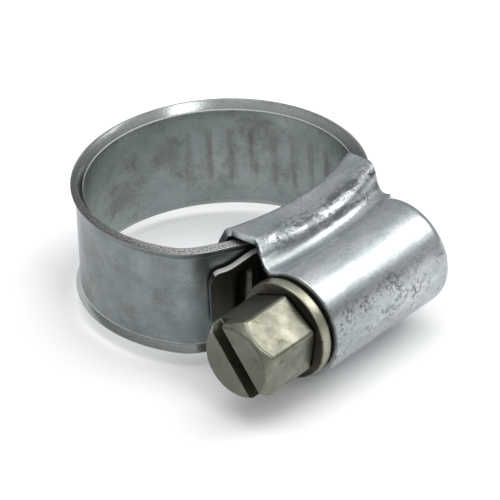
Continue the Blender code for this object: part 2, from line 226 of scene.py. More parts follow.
# Oil, and painted shade, in the neck between the hexagon and the flange
OIL_AND_SHADE = (0.02, 0.018, 0.015)
END_FACE_GREY = (0.085, 0.085, 0.075)
GRIME = (0.05, 0.05, 0.035)

# Camera
CAMERA_AZIMUTH = 42.0
CAMERA_ELEVATION = 32.05
CAMERA_ROLL = 3.25
CAMERA_DISTANCE = 1.0
VIEW_WIDTH = 43.5 * MM
AIM_RIGHT = 2.373 * MM                 # the camera aims to the right of the ring's centre
AIM_UP = -2.100 * MM                   # and below it
SENSOR = 36.0
CLIP_START = 0.01
CLIP_END = 20.0

# Floor and sky
FLOOR_HALF = 3.0
FLOOR_COLOUR = (0.93, 0.93, 0.93)
FLOOR_ROUGHNESS = 0.9
SKY_COLOUR = (0.95, 0.97, 1.0)
SKY_RISE = 0.55                        # the sky brightens from the horizon up to this height
SKY_LOW = 0.22
SKY_HIGH = 0.72


def joint_named(name):
    return next(j for j in frame["joints"] if j["name"] == name)


SCREW_AXIS = Vector(joint_named("screw_turn")["pos_m"])
SCREW_X = 15.20 * MM
RING_CENTRE = SCREW_AXIS - Vector((SCREW_X, 0.0, 0.0))


def blend(low, high, value):
    """Smooth step from 0 at low to 1 at high."""
    t = min(max((value - low) / (high - low), 0.0), 1.0)
    return t * t * (3 - 2 * t)


def mix(a, b, t):
    return a + (b - a) * t


def polar(radius, angle):
    return Vector((radius * math.cos(angle), radius * math.sin(angle)))


def bend_arc(before, corner, after, radius, steps):
    """Points of the arc that rounds off a corner."""
    back = (before - corner).normalized()
    ahead = (after - corner).normalized()
    half = back.angle(ahead) / 2
    if half > math.pi / 2 - STRAIGHT:
        return [corner + ahead * (i - steps / 2) * SHORT_STEP for i in range(steps + 1)]
    reach = radius / math.tan(half)
    centre = corner + (back + ahead).normalized() * radius / math.sin(half)
    first = corner + back * reach - centre
    last = corner + ahead * reach - centre
    sweep = first.angle_signed(last)
    points = []
    for i in range(steps + 1):
        turn = -sweep * i / steps
        c, s = math.cos(turn), math.sin(turn)
        points.append(centre + Vector((c * first.x - s * first.y, s * first.x + c * first.y)))
    return points


# ---------------------------------------------------------------- meshes


def make_object(name, points, faces):
    """Object from points in the ring's frame."""
    mesh = bpy.data.meshes.new(name)
    mesh.from_pydata([tuple(RING_CENTRE + p) for p in points], [], faces)
    thing = bpy.data.objects.new(name, mesh)
    bpy.context.collection.objects.link(thing)
    return thing


def face_outwards(thing):
    work = bmesh.new()
    work.from_mesh(thing.data)
    bmesh.ops.recalc_face_normals(work, faces=work.faces)
    work.to_mesh(thing.data)
    work.free()


def shade(thing, degrees):
    thing.data.shade_smooth()
    thing.data.set_sharp_from_angle(angle=math.radians(degrees))


def tube_faces(rows, columns):
    """Quads between closed rows of points, with a face at each end."""
    faces = []
    for row in range(rows - 1):
        for column in range(columns):
            after = (column + 1) % columns
            a = row * columns + column
            b = row * columns + after
            faces.append((a, b, b + columns, a + columns))
    faces.append(tuple(range(columns))[::-1])
    faces.append(tuple(range((rows - 1) * columns, rows * columns)))
    return faces


# ---------------------------------------------------------------- band


def tangent_angle(track_r, bend_r, side):
    """Angle on the track where a bend leaves it, so that the bend meets the ring."""
    centre = Vector((TRACK_X, TRACK_Y))
    arm = track_r - bend_r
    reach = RING_R - bend_r
    cosine = (reach ** 2 - centre.length ** 2 - arm ** 2) / (2 * centre.length * arm)
    spread = math.acos(cosine)
    return (math.atan2(centre.y, centre.x) + side * spread + math.pi) % FULL_TURN - math.pi


def band_arcs():
    """Arcs of the band's middle line, clockwise: centre, radius, start angle, end angle."""
    track = Vector((TRACK_X, TRACK_Y))
    ring = Vector((0.0, 0.0))
    near = tangent_angle(FIXED_TRACK_R, FIXED_BEND_R, +1)
    far = tangent_angle(TAIL_TRACK_R, FAR_BEND_R, -1)
    near_bend = track + polar(FIXED_TRACK_R - FIXED_BEND_R, near)
    far_bend = track + polar(TAIL_TRACK_R - FAR_BEND_R, far)
    near_join = math.atan2(near_bend.y, near_bend.x)
    far_join = math.atan2(far_bend.y, far_bend.x)
    start = math.asin(FIXED_START_Y / FIXED_TRACK_R)
    tip = math.asin((TIP_Y - TRACK_Y) / TAIL_TRACK_R)
    return [
        (track, FIXED_TRACK_R, start, near),
        (near_bend, FIXED_BEND_R, near, near_join),
        (ring, RING_R, near_join, far_join - FULL_TURN),
        (far_bend, FAR_BEND_R, far_join - FULL_TURN, far - FULL_TURN),
        (track, TAIL_TRACK_R, far - FULL_TURN, tip - FULL_TURN),
    ]


ARCS = band_arcs()
ARC_LENGTHS = [radius * (first - last) for _, radius, first, last in ARCS]
BAND_LENGTH = sum(ARC_LENGTHS)
TRACK_MIDDLE = BAND_LENGTH - TAIL_TRACK_R * (-FULL_TURN - ARCS[4][3])
LIPS_STOP = TRACK_MIDDLE - TAIL_HINGE_BACK - SHORT_LINK
TEETH_START = sum(ARC_LENGTHS[:2]) + RING_R * (ARCS[2][2] - TOOTHED_FROM + FULL_TURN)


def band_frame(along):
    """Point on the middle line, and the outward normal, at a length along the band."""
    for (centre, radius, first, _), length in zip(ARCS, ARC_LENGTHS):
        if along <= length or radius == TAIL_TRACK_R:
            normal = polar(1.0, first - along / radius)
            return centre + radius * normal, normal
        along -= length


def along_of(place):
    """Length along the band of the middle line's nearest point to a place in the ring's frame."""
    def distance(step):
        return (band_frame(BAND_LENGTH * step / PATH_STEPS)[0] - place).length

    return BAND_LENGTH * min(range(PATH_STEPS + 1), key=distance) / PATH_STEPS


def lip_share(along):
    """1 where the band has flared edges, 0 where it has none."""
    near = blend(LIP_START, LIP_START + LIP_FADE, along)
    return near * (1 - blend(LIPS_STOP, LIPS_STOP + LIP_FADE, along))


def half_height(along):
    """Half height of the band without flared edges, which narrows to the tip."""
    left = BAND_LENGTH - along
    taper = mix(TIP_HALF, TAIL_HALF, blend(TIP_NOSE, TIP_TAPER, left))
    nose = min(max(left / TIP_NOSE, 0.0), 1.0)
    return taper * mix(TIP_NOSE_SHARE, 1.0, math.sqrt(1 - (1 - nose) ** 2))


def track_wave(along, z):
    """0 on the lands of the worm track and 1 on the floor of its grooves."""
    slant = PITCH / (FULL_TURN * CREST_R)
    place = (along + slant * z - TRACK_MIDDLE) / GROOVE_SPACING
    off = abs(place - round(place)) * GROOVE_SPACING
    profile = 1 - blend(GROOVE_FLOOR_HALF, GROOVE_TOP_HALF, off)
    across = 1 - blend(GROOVE_REACH, GROOVE_END, abs(z))
    ahead = 1 - blend(BAND_LENGTH - TIP_NOSE - PITCH, BAND_LENGTH - TIP_NOSE, along)
    behind = blend(TEETH_START, TEETH_START + PITCH, along)
    return profile * across * ahead * behind


def wall(along, top, face, depth):
    """Points across one face of the strip, pressed in along the worm track."""
    heights = [mix(top, -top, i / WALL_COLUMNS) for i in range(1, WALL_COLUMNS)]
    return [Vector((face - depth * track_wave(along, z), z)) for z in heights]


def section(along):
    """Outline of the strip as (out, up) pairs, clockwise from the top of the outer face."""
    share = lip_share(along)
    edge = mix(TAIL_EDGE, LIP_LENGTH, share)
    bend = mix(half_height(along) - TAIL_EDGE, FLAT_HALF, share)
    lean = LIP_FLARE * share
    tip = Vector((edge * math.sin(lean), bend + edge * math.cos(lean)))
    across = STRIP / 2 * Vector((math.cos(lean), -math.sin(lean)))
    shift = STRIP / 2 * math.tan(lean / 2)
    down = Vector((0.0, -1.0))
    outer_tip = tip + across
    outer_bend = Vector((STRIP / 2, bend - shift))
    inner_tip = tip - across
    inner_bend = Vector((-STRIP / 2, bend + shift))
    small = LIP_BEND * share
    outer = bend_arc(inner_tip, outer_tip, outer_bend, EDGE_ROUND, EDGE_STEPS)
    inner = bend_arc(inner_bend, inner_tip, outer_tip, EDGE_ROUND, EDGE_STEPS)
    if share > LEAST_LIP:
        outer += bend_arc(outer_tip, outer_bend, outer_bend + down, small, LIP_STEPS)
        inner = bend_arc(inner_bend + down, inner_bend, inner_tip, small, LIP_STEPS) + inner
    else:
        count = LIP_STEPS + 1
        outer += [mix(outer[-1], outer_bend, (i + 1) / count) for i in range(count)]
        inner = [mix(inner_bend, inner[0], i / count) for i in range(count)] + inner
    outer_wall = wall(along, outer[-1].y, STRIP / 2, GROOVE_DEPTH)
    inner_wall = wall(along, -inner[0].y, -STRIP / 2, RIPPLE)
    outer_low = [Vector((p.x, -p.y)) for p in outer][::-1]
    inner_low = [Vector((p.x, -p.y)) for p in inner][::-1]
    return outer + outer_wall + outer_low + inner_low + inner_wall + inner


def strip_piece(name, start, stop):
    """A length of the band. Its end stations lie close together, so that two pieces meet smoothly."""
    count = max(LEAST_STATIONS, math.ceil((stop - start) / STATION_STEP))
    places = [start, start + END_STATION]
    places += [mix(start, stop, i / count) for i in range(1, count)]
    places += [stop - END_STATION, stop]
    points = []
    for along in places:
        place, normal = band_frame(along)
        outline = section(along)
        for out, up in outline:
            flat = place + normal * out
            points.append(Vector((flat.x, flat.y, up)))
    thing = make_object(name, points, tube_faces(len(places), len(outline)))
    add_strip_map(thing, places, outline)
    face_outwards(thing)
    shade(thing, BAND_SHARP)
    return thing


def add_strip_map(thing, places, outline):
    """Map of the strip: u is the length along it and v the length round its outline."""
    columns = len(outline)
    round_strip = [0.0]
    for i in range(columns):
        round_strip.append(round_strip[-1] + (outline[(i + 1) % columns] - outline[i]).length)
    layer = thing.data.uv_layers.new(name="strip")
    for number, polygon in enumerate(thing.data.polygons):
        row, column = divmod(number, columns)
        if row >= len(places) - 1:
            continue
        corner_uv = (
            (places[row], round_strip[column]),
            (places[row], round_strip[column + 1]),
            (places[row + 1], round_strip[column + 1]),
            (places[row + 1], round_strip[column]),
        )
        for loop, uv in zip(polygon.loop_indices, corner_uv):
            layer.data[loop].uv = (uv[0] / BAND_UV, uv[1] / BAND_UV)


def band(material):
    """One strip, in pieces that each span one hinge and meet in the middle of the links."""
    links = [j for j in frame["joints"] if j["name"] != "screw_turn"]
    hinges = [along_of((Vector(j["pos_m"]) - RING_CENTRE).xy) for j in links]
    bodies = ["root"] + [j["child"] for j in links]
    nodes = ["band_fixed_end"] + bodies[1:]
    middles = [(a + b) / 2 for a, b in zip(hinges, hinges[1:])]
    cuts = [0.0] + middles + [BAND_LENGTH]
    for number, hinge in enumerate(hinges):
        start, stop = cuts[number], cuts[number + 1]
        piece = strip_piece(f"band_strip_{number + 1:02d}", start, stop)
        piece.data.materials.append(material)
        reach = BEND_REACH * min(hinge - start, stop - hinge)
        first, _ = band_frame(hinge - reach)
        last, _ = band_frame(hinge + reach)
        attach(piece, bodies[number])
        piece.parent = None
        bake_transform(piece)
        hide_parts(nodes[number])
        if number == len(hinges) - 1:
            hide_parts(nodes[number + 1])


# ---------------------------------------------------------------- screw


def hex_radius(angle):
    """Radius of the hexagon with rounded edges, in a direction from +X towards +Z."""
    apothem = HEX_FLATS / 2
    off = (angle - HEX_CORNER) % (math.pi / 3) - math.pi / 6
    tangent = math.atan((apothem - HEX_EDGE_ROUND) * math.tan(math.pi / 6) / apothem)
    if abs(off) <= tangent:
        return apothem / math.cos(off)
    centre = (apothem - HEX_EDGE_ROUND) / math.cos(math.pi / 6)
    from_corner = math.pi / 6 - abs(off)
    aside = centre * math.sin(from_corner)
    return centre * math.cos(from_corner) + math.sqrt(HEX_EDGE_ROUND ** 2 - aside ** 2)


def soft_min(a, b, width):
    """The smaller of two lengths, rounded where they are equal."""
    h = min(max(0.5 + 0.5 * (b - a) / width, 0.0), 1.0)
    return mix(b, a, h) - width * h * (1 - h)


def head_radius(y, angle):
    limit = CHAMFER_R + (y - HEX_FRONT_Y) * CHAMFER_SLOPE
    return soft_min(hex_radius(angle), limit, CHAMFER_ROUND)


def thread_radius(y, angle):
    """Radius of the right-hand worm. Its crest faces the middle of the band's track."""
    turn = (math.pi / 2 - angle) / FULL_TURN
    place = (y - TRACK_Y) / PITCH - QUARTER_TURN - turn
    off = abs(place - round(place)) * PITCH
    share = 1 - min(max((off - CREST_HALF) / (ROOT_HALF - CREST_HALF), 0.0), 1.0)
    ends = blend(THREAD_Y0, THREAD_Y0 + PITCH / 2, y) * (1 - blend(THREAD_Y1 - PITCH / 2, THREAD_Y1, y))
    return mix(CORE_R, CREST_R, share * ends)


def turned_profile():
    """(y, radius) of the plain turned parts, from the neck to the start of the worm."""
    rounds = (NECK_ROUND, FLANGE_ROUND, FLANGE_ROUND, NECK_ROUND)
    corners = [
        Vector((HEX_BACK_Y, NECK_R)),
        Vector((FLANGE_FRONT_Y, NECK_R)),
        Vector((FLANGE_FRONT_Y, FLANGE_R)),
        Vector((FLANGE_BACK_Y, FLANGE_R)),
        Vector((FLANGE_BACK_Y, CORE_R)),
        Vector((THREAD_Y0, CORE_R)),
    ]
    profile = [corners[0]]
    for before, corner, after, radius in zip(corners, corners[1:], corners[2:], rounds):
        profile += bend_arc(before, corner, after, radius, PROFILE_STEPS)
    return profile


def screw_rows():
    """(y, radius function) of each ring of points, from the middle of the end face to the pilot."""
    rows = []
    for share in FACE_RINGS:
        rows.append((HEX_FRONT_Y, lambda a, share=share: share * (CHAMFER_R - CHAMFER_ROUND)))
    rim = bend_arc(
        Vector((HEX_FRONT_Y, 0.0)),
        Vector((HEX_FRONT_Y, CHAMFER_R)),
        Vector((HEX_FRONT_Y + MM, CHAMFER_R + CHAMFER_SLOPE * MM)),
        CHAMFER_ROUND,
        SMALL_STEPS,
    )
    rows += [(p.x, lambda a, r=p.y: r) for p in rim]
    count = round((HEX_BACK_Y - HEX_FRONT_Y) / SCREW_ROW)
    for i in range(2, count + 1):
        y = mix(HEX_FRONT_Y, HEX_BACK_Y, i / count)
        drop = max(0.0, y - (HEX_BACK_Y - HEX_BACK_ROUND))
        rows.append((y, lambda a, y=y, drop=drop: head_radius(y, a) - drop))
    rows += [(p.x, lambda a, r=p.y: r) for p in turned_profile()]
    count = round((THREAD_Y1 - THREAD_Y0) / (PITCH / WORM_ROWS))
    for i in range(1, count + 1):
        y = mix(THREAD_Y0, THREAD_Y1, i / count)
        rows.append((y, lambda a, y=y: thread_radius(y, a)))
    rows.append((THREAD_Y1 + PILOT_CHAMFER, lambda a: PILOT_R))
    rows.append((PILOT_Y - PILOT_CHAMFER, lambda a: PILOT_R))
    rows.append((PILOT_Y, lambda a: PILOT_R - PILOT_CHAMFER))
    return rows


def slot_cutter():
    """Bar with flared top edges that cuts the slot and rounds its lips."""
    half = SLOT_WIDTH / 2
    outline = [
        Vector((half + SLOT_ROUND + MM, MM)),
        Vector((half + SLOT_ROUND, HAIR)),
    ]
    for i in range(1, SMALL_STEPS + 1):
        a = math.pi / 2 * i / SMALL_STEPS
        outline.append(Vector((half + SLOT_ROUND * (1 - math.sin(a)), -SLOT_ROUND * (1 - math.cos(a)))))
    top, corner, middle = Vector((half, 0.0)), Vector((half, -SLOT_DEPTH)), Vector((0.0, -SLOT_DEPTH))
    outline += bend_arc(top, corner, middle, SLOT_FLOOR_ROUND, SMALL_STEPS)
    outline += [Vector((-p.x, p.y)) for p in outline[::-1]]
    direction = polar(1.0, SLOT_TURN)
    side = Vector((-direction.y, direction.x))
    points = []
    for end in (-HEX_FLATS, HEX_FLATS):
        for p in outline:
            flat = direction * end + side * p.x
            points.append(Vector((SCREW_X + flat.x, HEX_FRONT_Y - p.y, flat.y)))
    cutter = make_object("slot_cutter", points, tube_faces(2, len(outline)))
    face_outwards(cutter)
    return cutter


def screw(material):
    """Hexagon head, flange, worm and pilot in one turned piece."""
    rows = screw_rows()
    points = []
    for y, radius in rows:
        for column in range(SCREW_COLUMNS):
            angle = HEX_CORNER + FULL_TURN * column / SCREW_COLUMNS
            flat = polar(radius(angle), angle)
            points.append(Vector((SCREW_X + flat.x, y, flat.y)))
    thing = make_object("screw_detailed", points, tube_faces(len(rows), SCREW_COLUMNS))
    face_outwards(thing)
    cutter = slot_cutter()
    cut = thing.modifiers.new("slot", "BOOLEAN")
    cut.operation = "DIFFERENCE"
    cut.object = cutter
    apply_modifiers(thing)
    bpy.data.objects.remove(cutter)
    shade(thing, METAL_SHARP)
    thing.data.materials.clear()
    thing.data.materials.append(material)
    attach(thing, "screw")
    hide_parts("screw")


def apply_modifiers(thing):
    """Turns the modified shape into the object's own mesh."""
    seen = thing.evaluated_get(bpy.context.evaluated_depsgraph_get())
    mesh = bpy.data.meshes.new_from_object(seen)
    thing.modifiers.clear()
    thing.data = mesh


# ---------------------------------------------------------------- housing


def housing_outline(y, dome_r):
    """Upper half of the housing's outer side at one place along the screw."""
    middle = (SHOULDER_Y0 + SHOULDER_Y1) / 2
    bow = SHOULDER_BOW * ((y - middle) / (SHOULDER_Y1 - middle)) ** 2
    inside = SHOULDER_IN_X - bow
    foot = TRACK_X + math.sqrt(FOOT_TRACK_R ** 2 - (y - TRACK_Y) ** 2)
    wall = SHOULDER_OUT_X - bow
    dome_start = math.acos((wall - SCREW_X) / DOME_R)
    axis = Vector((SCREW_X, 0.0))
    corners = [
        (Vector((foot, FOOT_Z)), 0.0),
        (Vector((foot, FOOT_BEND_Z)), FOOT_BEND_R),
        (Vector((inside, SHOULDER_Z)), SHOULDER_IN_BEND_R),
        (Vector((wall - WALL_LEAN, SHOULDER_Z)), SHOULDER_OUT_BEND_R),
        (axis + polar(DOME_R, dome_start), DOME_BEND_R),
        (axis + polar(DOME_R, dome_start - DOME_LEAD), 0.0),
    ]
    outline = [mix(corners[0][0], corners[1][0], i / FOOT_STEPS) for i in range(FOOT_STEPS)]
    for (before, _), (corner, radius), (after, _) in zip(corners, corners[1:], corners[2:]):
        outline += bend_arc(before, corner, after, radius, BEND_STEPS)
    first = dome_start - DOME_LEAD
    for i in range(DOME_STEPS + 1):
        angle = first * (1 - i / DOME_STEPS)
        outline.append(axis + polar(dome_r, angle))
    return outline


def box_cutter(low, high):
    """Box between two corners in the ring's frame."""
    sides = ((low[0], low[2]), (high[0], low[2]), (high[0], high[2]), (low[0], high[2]))
    points = [Vector((x, y, z)) for y in (low[1], high[1]) for x, z in sides]
    cutter = make_object("cutter", points, tube_faces(2, len(sides)))
    face_outwards(cutter)
    return cutter


def housing(material):
    """Pressed shell: two feet and shoulders round the band, and a dome over the worm."""
    straight = 1 - ROLL_LENGTH / (DOME_Y1 - DOME_Y0)
    shares = [straight * i / HOUSING_STATIONS for i in range(HOUSING_STATIONS)]
    shares += [mix(straight, 1.0, i / ROLL_STATIONS) for i in range(ROLL_STATIONS + 1)]
    rows = []
    for share in shares:
        y = mix(SHOULDER_Y0, SHOULDER_Y1, share)
        dome_y = mix(DOME_Y0, DOME_Y1, share)
        roll = max(0.0, 1 - (DOME_Y1 - dome_y) / ROLL_LENGTH)
        dome_r = mix(DOME_END_R, DOME_R, math.sqrt(max(0.0, 1 - roll ** 2)))
        upper = housing_outline(y, dome_r)
        full = upper + [Vector((p.x, -p.y)) for p in upper[-2::-1]]
        row = []
        for p in full:
            over_dome = blend(SCREW_X - DOME_R, SCREW_X - DOME_R / 2, p.x)
            row.append(Vector((p.x, mix(y, dome_y, over_dome), p.y)))
        rows.append(row)
    columns = len(rows[0])
    faces = []
    for row in range(len(rows) - 1):
        for column in range(columns - 1):
            a = row * columns + column
            faces.append((a, a + 1, a + 1 + columns, a + columns))
    points = [p for row in rows for p in row]
    thing = make_object("housing_detailed", points, faces)
    face_outwards(thing)
    sheet = thing.modifiers.new("sheet", "SOLIDIFY")
    sheet.thickness = SHEET
    sheet.offset = -1.0
    sheet.use_even_offset = True
    window = box_cutter((0.0, WINDOW_Y, -WINDOW_Z), (WINDOW_X, WINDOW_Y + SHOULDER_Y1, WINDOW_Z))
    cut = thing.modifiers.new("window", "BOOLEAN")
    cut.operation = "DIFFERENCE"
    cut.object = window
    edge = thing.modifiers.new("edge", "BEVEL")
    edge.width = SHEET_ROUND
    edge.segments = 2
    edge.limit_method = "ANGLE"
    edge.angle_limit = math.radians(ROUND_FROM)
    apply_modifiers(thing)
    bpy.data.objects.remove(window)
    shade(thing, METAL_SHARP)
    thing.data.materials.clear()
    thing.data.materials.append(material)
    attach(thing, "root")
    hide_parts("housing")


# ---------------------------------------------------------------- materials


class Nodes:
    """Short way to write a material's nodes. The materials below call it n."""

    def __init__(self, name):
        self.material = bpy.data.materials.new(name)
        self.material.use_nodes = True
        self.tree = self.material.node_tree
        self.shader = self.tree.nodes["Principled BSDF"]

    def add(self, kind, inputs=(), **settings):
        node = self.tree.nodes.new(kind)
        for key, value in settings.items():
            setattr(node, key, value)
        for key, value in dict(inputs).items():
            self.set(node.inputs[key], value)
        return node

    def set(self, socket, value):
        if isinstance(value, bpy.types.NodeSocket):
            self.tree.links.new(value, socket)
        else:
            socket.default_value = value

    def split(self, vector):
        """The x, y and z of a vector."""
        return tuple(self.add("ShaderNodeSeparateXYZ", {"Vector": vector}).outputs)

    def noise(self, where, scale, detail, rough, stretch=None):
        if stretch is not None:
            where = self.add("ShaderNodeMapping", {"Vector": where, "Scale": stretch}).outputs["Vector"]
        inputs = {"Vector": where, "Scale": scale, "Detail": detail, "Roughness": rough}
        return self.add("ShaderNodeTexNoise", inputs).outputs["Fac"]

    def clouded(self, value, places, colours):
        """Colour that goes from one of the colours to the next between the places."""
        node = self.add("ShaderNodeValToRGB", {"Fac": value})
        points = node.color_ramp.elements
        while len(points) < len(places):
            points.new(places[1])
        for point, place, colour in zip(points, places, colours):
            point.position = place
            point.color = (*colour, 1.0)
        return node.outputs["Color"]

    def grey(self, value, low, high, start, end):
        """Maps start..end to low..high."""
        inputs = {"Value": value, "From Min": start, "From Max": end, "To Min": low, "To Max": high}
        return self.add("ShaderNodeMapRange", inputs, clamp=True).outputs["Result"]

    def rises(self, value, start, end, high=1.0):
        """0 up to start, and high from end."""
        return self.grey(value, 0.0, high, start, end)

    def falls(self, value, start, end, high=1.0):
        """high up to start, and 0 from end."""
        return self.grey(value, high, 0.0, start, end)

    def between(self, value, start, full, fade, end):
        """1 from full to fade, and 0 up to start and from end."""
        return self.times(self.rises(value, start, full), self.falls(value, fade, end))

    def mix(self, share, a, b):
        node = self.add("ShaderNodeMix", data_type="RGBA")
        sockets = [s for s in node.inputs if s.type == "RGBA"]
        self.set(node.inputs[0], share)
        self.set(sockets[0], a if isinstance(a, bpy.types.NodeSocket) else (*a, 1.0))
        self.set(sockets[1], b if isinstance(b, bpy.types.NodeSocket) else (*b, 1.0))
        return next(s for s in node.outputs if s.type == "RGBA")

    def math(self, how, a, b=0.0):
        node = self.add("ShaderNodeMath", operation=how)
        self.set(node.inputs[0], a)
        self.set(node.inputs[1], b)
        return node.outputs[0]

    def times(self, first, *others):
        product = first
        for other in others:
            product = self.math("MULTIPLY", product, other)
        return product

    def distance(self, value, place):
        return self.math("ABSOLUTE", self.math("SUBTRACT", value, place))

    def bump(self, height, distance, strength):
        inputs = {"Height": height, "Distance": distance, "Strength": strength}
        return self.add("ShaderNodeBump", inputs).outputs["Normal"]

    def finish(self, colour, roughness, normal, metallic=1.0):
        self.set(self.shader.inputs["Base Color"], colour)
        self.set(self.shader.inputs["Roughness"], roughness)
        self.set(self.shader.inputs["Normal"], normal)
        self.set(self.shader.inputs["Metallic"], metallic)
        return self.material


def band_material():
    """Satin zinc: grey-green with stains and brownish marks, grainy cut edges with a painted highlight
    at the tip, painted highlights on the upper lips and the inner fillet, and a tip darkened by oil and
    by painted shade.
    """
    n = Nodes("band_zinc_plating")
    where = n.add("ShaderNodeUVMap", uv_map="strip").outputs["UV"]
    surface = n.add("ShaderNodeNewGeometry")
    along, round_strip, _ = n.split(where)
    facing_up = n.split(surface.outputs["Normal"])[2]
    off_middle = n.distance(n.split(surface.outputs["Position"])[2], RING_CENTRE.z)
    clouds = n.noise(where, scale=3.0, detail=5.0, rough=0.6)
    specks = n.noise(where, scale=45.0, detail=3.0, rough=0.6)

    inside = n.rises(round_strip, *INNER_FACE_V)
    lip = n.between(facing_up, *LIP_FACING)
    fillet = n.times(n.between(facing_up, *FILLET_FACING), inside)
    edge = n.rises(n.math("ABSOLUTE", facing_up), *EDGE_FACING)
    oil_and_shade_from = (BAND_LENGTH - OIL_AND_SHADE_LENGTH) / BAND_UV
    tip = n.rises(along, oil_and_shade_from, oil_and_shade_from + OIL_AND_SHADE_LENGTH / 2 / BAND_UV)

    colour = n.clouded(clouds, (0.30, 0.50, 0.70), BAND_CLOUDS)
    colour = n.mix(n.times(inside, 0.33), colour, BAND_INSIDE)
    colour = n.mix(track_marks(n, where, along, off_middle), colour, BAND_MARKS)
    blotches = n.noise(where, scale=2.2, detail=6.0, rough=0.75)
    colour = n.mix(n.rises(blotches, 0.48, 0.64, high=0.6), colour, BAND_STAINS)
    # Painted highlight: the upper lips are made lighter
    colour = n.mix(n.times(lip, 0.7), colour, PAINTED_LIP_HIGHLIGHT)
    # Painted highlight: a pale cream line along the inner fillet
    colour = n.mix(n.times(fillet, 0.9), colour, PAINTED_FILLET_HIGHLIGHT)
    colour = n.mix(n.falls(specks, 0.30, 0.42, high=0.45), colour, BAND_SPECKS)
    # Painted shade and oil darken the last part of the tail towards the tip
    colour = n.mix(n.times(tip, 0.85), colour, OILY_SHADED_STEEL)

    grain = n.noise(where, scale=70.0, detail=4.0, rough=0.75)
    cut = n.mix(n.rises(grain, 0.38, 0.62), *CUT_STEEL)
    # Painted highlight: the tip's cut edges are pale
    colour = n.mix(edge, colour, n.mix(tip, cut, PAINTED_TIP_HIGHLIGHT))

    # The painted highlights on the tip's edges and the fillet are made less metallic
    painted_highlights = n.math("MAXIMUM", n.times(tip, edge, 0.8), n.times(fillet, 0.7))
    metallic = n.math("SUBTRACT", 1.0, painted_highlights)
    satin = n.grey(clouds, low=0.40, high=0.28, start=0.3, end=0.7)
    roughness = n.math("SUBTRACT", satin, n.times(lip, 0.14))
    fine = n.noise(where, scale=120.0, detail=2.0, rough=0.5)
    relief = n.math("ADD", n.times(specks, 0.7), n.times(fine, 0.3))
    return n.finish(colour, roughness, n.bump(relief, distance=0.02 * MM, strength=0.5), metallic)


def track_marks(n, where, along, off_middle):
    """Share of the dark marks that the worm track leaves across the strip."""
    wave = n.math("SINE", n.times(along, FULL_TURN * BAND_UV / GROOVE_SPACING))
    streaks = n.noise(where, scale=5.0, detail=4.0, rough=0.6, stretch=(2.5, 0.3, 1.0))
    uneven = n.grey(streaks, low=0.15, high=1.0, start=0.40, end=0.60)
    across = n.falls(off_middle, GROOVE_REACH, GROOVE_END)
    toothed = n.rises(along, TEETH_START / BAND_UV, (TEETH_START + PITCH) / BAND_UV, high=0.6)
    return n.times(n.rises(wave, 0.0, 0.9), uneven, across, toothed)


def housing_material():
    """Bright zinc, scuffed along the shoulder's crest, where dark and bright blotches are also a
    painted reflection and painted highlights, and pitted on the dome's lower side.
    """
    n = Nodes("housing_zinc_plating")
    where = n.add("ShaderNodeTexCoord").outputs["Object"]
    x, y, z = n.split(where)
    crest = crest_share(n, x, y)
    low_side = n.falls(n.distance(z, RING_CENTRE.z), 1.5 * MM, 3.2 * MM)
    across = n.math("SUBTRACT", x, RING_CENTRE.x)
    flank = n.times(low_side, n.rises(across, SCREW_X, SCREW_X + DOME_R))
    worn = n.math("ADD", n.math("MAXIMUM", crest, flank), 0.22)
    clouds = n.noise(where, scale=200.0, detail=5.0, rough=0.6)
    specks = n.noise(where, scale=2300.0, detail=5.0, rough=0.75)

    colour = n.clouded(clouds, (0.30, 0.50, 0.70), HOUSING_CLOUDS)
    streaks = n.noise(where, scale=420.0, detail=4.0, rough=0.6, stretch=(1.0, 0.22, 1.0))
    colour = n.mix(n.rises(streaks, 0.50, 0.68, high=0.55), colour, HOUSING_STREAKS)
    scuffs_and_sheen = n.noise(where, scale=800.0, detail=5.0, rough=0.65, stretch=(1.0, 0.4, 1.0))
    # Dark and bright blotches on the crest: scuffs, and also a painted dark reflection and painted
    # highlights
    colour = n.mix(n.times(n.rises(scuffs_and_sheen, 0.49, 0.57, high=0.9), crest), colour, DARK_SCUFFS_AND_REFLECTION)
    colour = n.mix(n.times(n.falls(scuffs_and_sheen, 0.34, 0.42, high=0.6), crest), colour, BRIGHT_SCUFFS_AND_HIGHLIGHT)
    patches = n.rises(n.noise(where, scale=420.0, detail=4.0, rough=0.6), 0.42, 0.60)
    pits = n.times(n.falls(specks, 0.40, 0.53), patches, worn)
    colour = n.mix(n.times(pits, 0.8), colour, HOUSING_PITS)
    grain = n.noise(where, scale=5200.0, detail=3.0, rough=0.6, stretch=(1.0, 0.5, 1.0))
    colour = n.mix(n.falls(grain, 0.36, 0.50, high=0.28), colour, HOUSING_GRAIN)

    gloss = n.grey(clouds, low=0.36, high=0.24, start=0.3, end=0.7)
    roughness = n.math("SUBTRACT", gloss, n.times(crest, 0.06))
    relief = n.times(specks, n.math("ADD", n.times(worn, 0.8), 0.25))
    return n.finish(colour, roughness, n.bump(relief, distance=0.06 * MM, strength=0.5))


def crest_share(n, x, y):
    """1 on the crest of the shoulder, which bows along the screw, and 0 beside it."""
    half = (SHOULDER_Y1 - SHOULDER_Y0) / 2
    along = n.math("SUBTRACT", y, RING_CENTRE.y + SHOULDER_Y0 + half)
    bow = n.times(n.math("POWER", along, 2.0), SHOULDER_BOW / half ** 2)
    straightened = n.math("ADD", n.math("SUBTRACT", x, RING_CENTRE.x), bow)
    off_crest = n.distance(straightened, SHOULDER_OUT_X - WALL_LEAN - CREST_INSET)
    return n.falls(off_crest, CREST_INSET, CREST_WIDTH)


